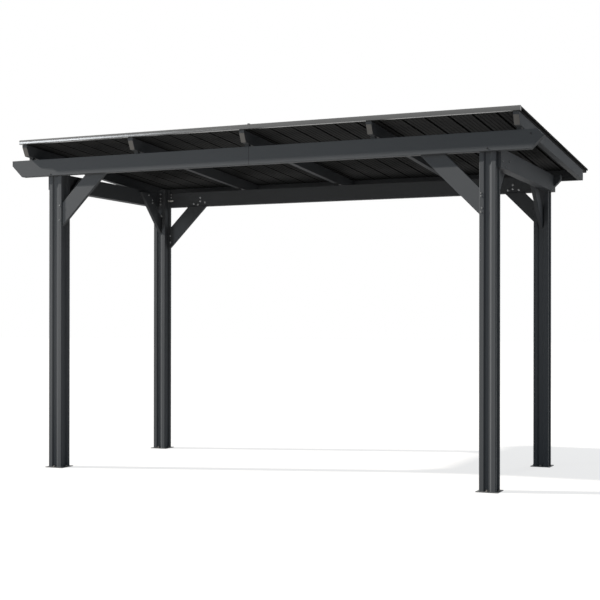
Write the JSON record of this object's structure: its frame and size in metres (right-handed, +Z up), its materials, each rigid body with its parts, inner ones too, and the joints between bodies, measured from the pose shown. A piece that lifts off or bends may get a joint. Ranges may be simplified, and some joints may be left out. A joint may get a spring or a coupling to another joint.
{
  "type": "grill gazebo",
  "caption": "Open steel grill gazebo with channelled square posts, knee braces and a single-slope ribbed metal roof",
  "frame": {"origin": "middle of the bounding box in plan, on the ground under the base plates", "axes": "+X along the long side to the right as seen from the high front, +Y back towards the low rear eave, +Z up"},
  "size_m": [3.968, 2.2027, 2.4011],
  "materials": {
    "frame": "satin powder coat, dark blue-grey",
    "roof_sheet": "matt coated ribbed sheet, charcoal",
    "roof_trim": "satin powder coat, mid grey",
    "seat_block": "matt powder coat, near black",
    "base_plate": "satin powder coat, slightly worn"
  },
  "bodies": {
    "root": {"fascia_joint_cover": "roof_trim", "front_beam_left": "frame", "front_beam_right": "frame", "front_fascia_left": "roof_trim", "front_fascia_right": "roof_trim", "front_left_base_plate": "base_plate", "front_left_brace": "frame", "front_left_post": "frame", "front_rafter_wedges": "seat_block", "front_right_base_plate": "base_plate", "front_right_brace": "frame", "front_right_post": "frame", "left_side_beam": "frame", "left_side_front_brace": "frame", "left_side_rear_brace": "frame", "left_verge_strip": "roof_sheet", "rafter_1": "frame", "rafter_2": "frame", "rafter_3": "frame", "rafter_4": "frame", "rafter_5": "frame", "rear_beam_left": "frame", "rear_beam_right": "frame", "rear_board_1": "frame", "rear_board_2": "frame", "rear_board_3": "frame", "rear_board_4": "frame", "rear_left_base_plate": "base_plate", "rear_left_brace": "frame", "rear_left_post": "frame", "rear_rafter_wedges": "seat_block", "rear_right_base_plate": "base_plate", "rear_right_brace": "frame", "rear_right_post": "frame", "right_side_beam": "frame", "right_side_front_brace": "frame", "right_side_rear_brace": "frame", "right_verge_strip": "roof_sheet", "roof_sheet_1": "roof_sheet", "roof_sheet_2": "roof_sheet", "roof_sheet_3": "roof_sheet", "roof_sheet_4": "roof_sheet"}
  },
  "joints": []
}
